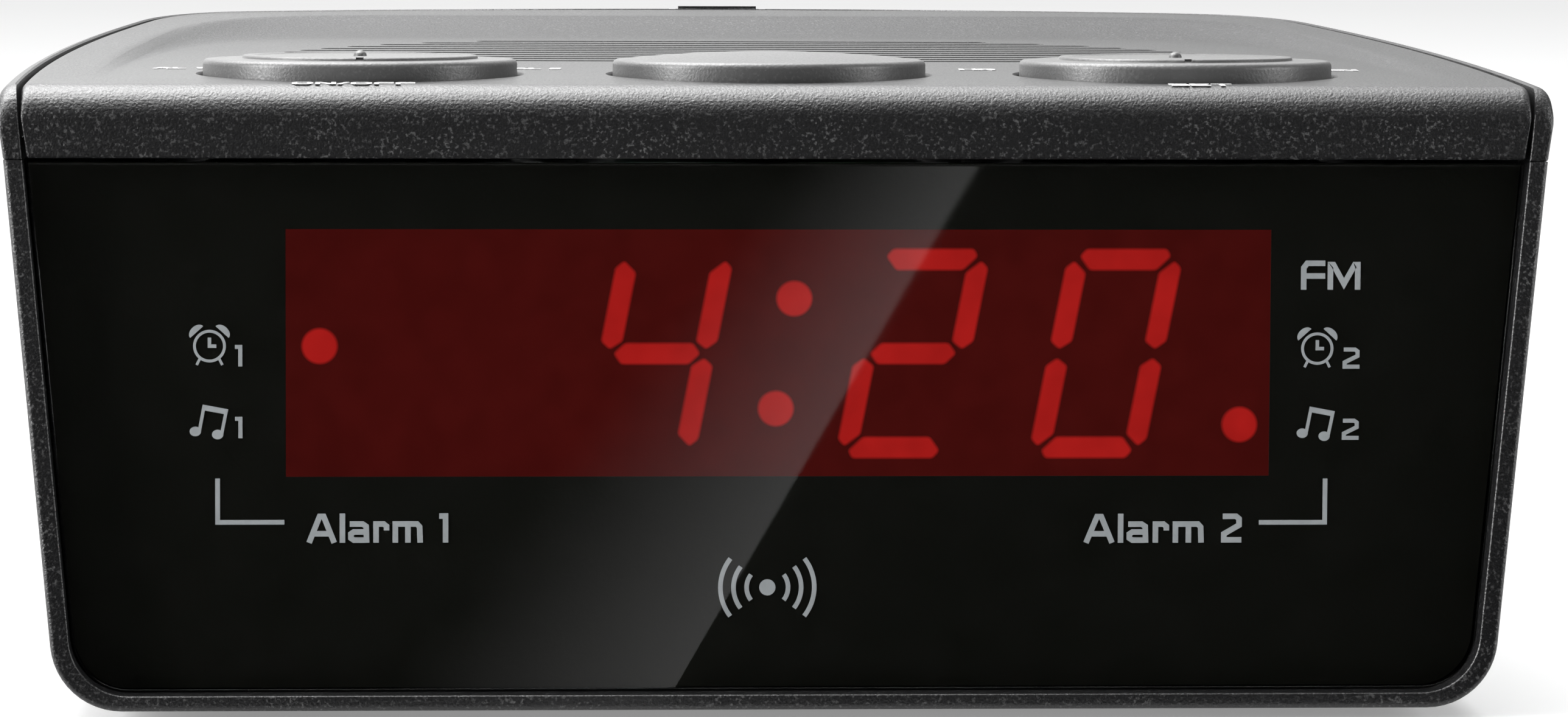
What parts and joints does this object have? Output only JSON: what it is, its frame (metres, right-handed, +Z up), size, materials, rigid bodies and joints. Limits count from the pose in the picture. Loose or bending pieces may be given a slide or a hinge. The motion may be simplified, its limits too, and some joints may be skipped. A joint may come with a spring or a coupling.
{
  "type": "clock radio",
  "caption": "Compact bedside clock radio: tapered black case, gloss front with a red LED time display, round top keys and a slotted speaker grille in a shallow scoop.",
  "frame": {"origin": "on the table, under the middle of the case", "axes": "+X to the right seen from the front, +Y from the front panel to the rear, +Z up"},
  "size_m": [0.1412, 0.1253, 0.0606],
  "materials": {
    "case_plastic": "fine leather grain, satin black",
    "key_plastic": "satin black",
    "lens_plastic": "polished black with a clear window",
    "red_filter": "deep red, translucent",
    "led_red": "lit red segments in a dark block",
    "inner_plastic": "plain moulded black",
    "board": "solder-masked glass fibre board",
    "switch_plastic": "plain black",
    "paper_cone": "pressed paper",
    "rubber": "matt",
    "wire_jacket": "soft vinyl",
    "cable_grey": "flat ribbon",
    "capacitor_sleeve": "shrink sleeve",
    "steel": "zinc plated",
    "spring_steel": "nickel plated",
    "ferrite": "sintered dark grey"
  },
  "bodies": {
    "housing": {"lower_cabinet": "case_plastic", "upper_frame": "case_plastic", "top_cover": "case_plastic", "front_lens": "lens_plastic", "window_filter": "red_filter", "led_display": "led_red", "lens_carrier": "inner_plastic", "key_bracket": "inner_plastic", "power_jack": "inner_plastic", "display_board": "board", "key_board": "board", "main_board": "board", "left_key_switch_left": "switch_plastic", "left_key_switch_right": "switch_plastic", "left_key_switch_front": "switch_plastic", "left_key_switch_rear": "switch_plastic", "right_key_switch_left": "switch_plastic", "right_key_switch_right": "switch_plastic", "right_key_switch_front": "switch_plastic", "right_key_switch_rear": "switch_plastic", "snooze_switch": "switch_plastic", "radio_chip": "switch_plastic", "clock_chip": "switch_plastic", "bracket_screw_1": "steel", "bracket_screw_2": "steel", "bracket_screw_3": "steel", "bracket_screw_4": "steel", "speaker_basket": "steel", "speaker_screw_1": "steel", "speaker_screw_2": "steel", "speaker_screw_3": "steel", "case_screw_1": "steel", "case_screw_2": "steel", "case_screw_3": "steel", "case_screw_4": "steel", "board_screw_1": "steel", "board_screw_2": "steel", "board_screw_3": "steel", "speaker_cone": "paper_cone", "speaker_magnet": "ferrite", "tuning_coil": "ferrite", "foot_1": "rubber", "foot_2": "rubber", "foot_3": "rubber", "foot_4": "rubber", "aerial_grommet": "rubber", "battery_spring_contact": "spring_steel", "battery_plate_contact": "spring_steel", "aerial_wire": "wire_jacket", "wire_tie": "wire_jacket", "speaker_lead": "wire_jacket", "supply_capacitor": "capacitor_sleeve", "display_cable": "cable_grey", "key_cable": "cable_grey"},
    "left_gimbal": {"left_key_pivot": "key_plastic"},
    "left_key_cap": {"left_key": "key_plastic"},
    "right_gimbal": {"right_key_pivot": "key_plastic"},
    "right_key_cap": {"right_key": "key_plastic"},
    "snooze": {"snooze_key": "key_plastic"},
    "door": {"battery_door": "case_plastic"}
  },
  "joints": [
    {"name": "left_key_tip", "type": "hinge", "parent": "housing", "child": "left_gimbal", "pos_m": [-0.0381, -0.0425, 0.0544], "axis": [1, 0, 0], "range_deg": [-2.8, 2.8], "stiffness_Nm_per_rad": 0.004},
    {"name": "left_key_rock", "type": "hinge", "parent": "left_gimbal", "child": "left_key_cap", "pos_m": [-0.0381, -0.0425, 0.0544], "axis": [0, 1, 0], "range_deg": [-2.8, 2.8], "stiffness_Nm_per_rad": 0.004},
    {"name": "right_key_tip", "type": "hinge", "parent": "housing", "child": "right_gimbal", "pos_m": [0.0381, -0.0425, 0.0544], "axis": [1, 0, 0], "range_deg": [-2.8, 2.8], "stiffness_Nm_per_rad": 0.004},
    {"name": "right_key_rock", "type": "hinge", "parent": "right_gimbal", "child": "right_key_cap", "pos_m": [0.0381, -0.0425, 0.0544], "axis": [0, 1, 0], "range_deg": [-2.8, 2.8], "stiffness_Nm_per_rad": 0.004},
    {"name": "snooze_press", "type": "slide", "parent": "housing", "child": "snooze", "axis": [0, 0, -1], "range_m": [0, 0.0008], "stiffness_N_per_m": 60, "springref_m": -0.0008},
    {"name": "battery_door_slide", "type": "slide", "parent": "housing", "child": "door", "axis": [0, 1, 0], "range_m": [0, 0.008]}
  ]
}
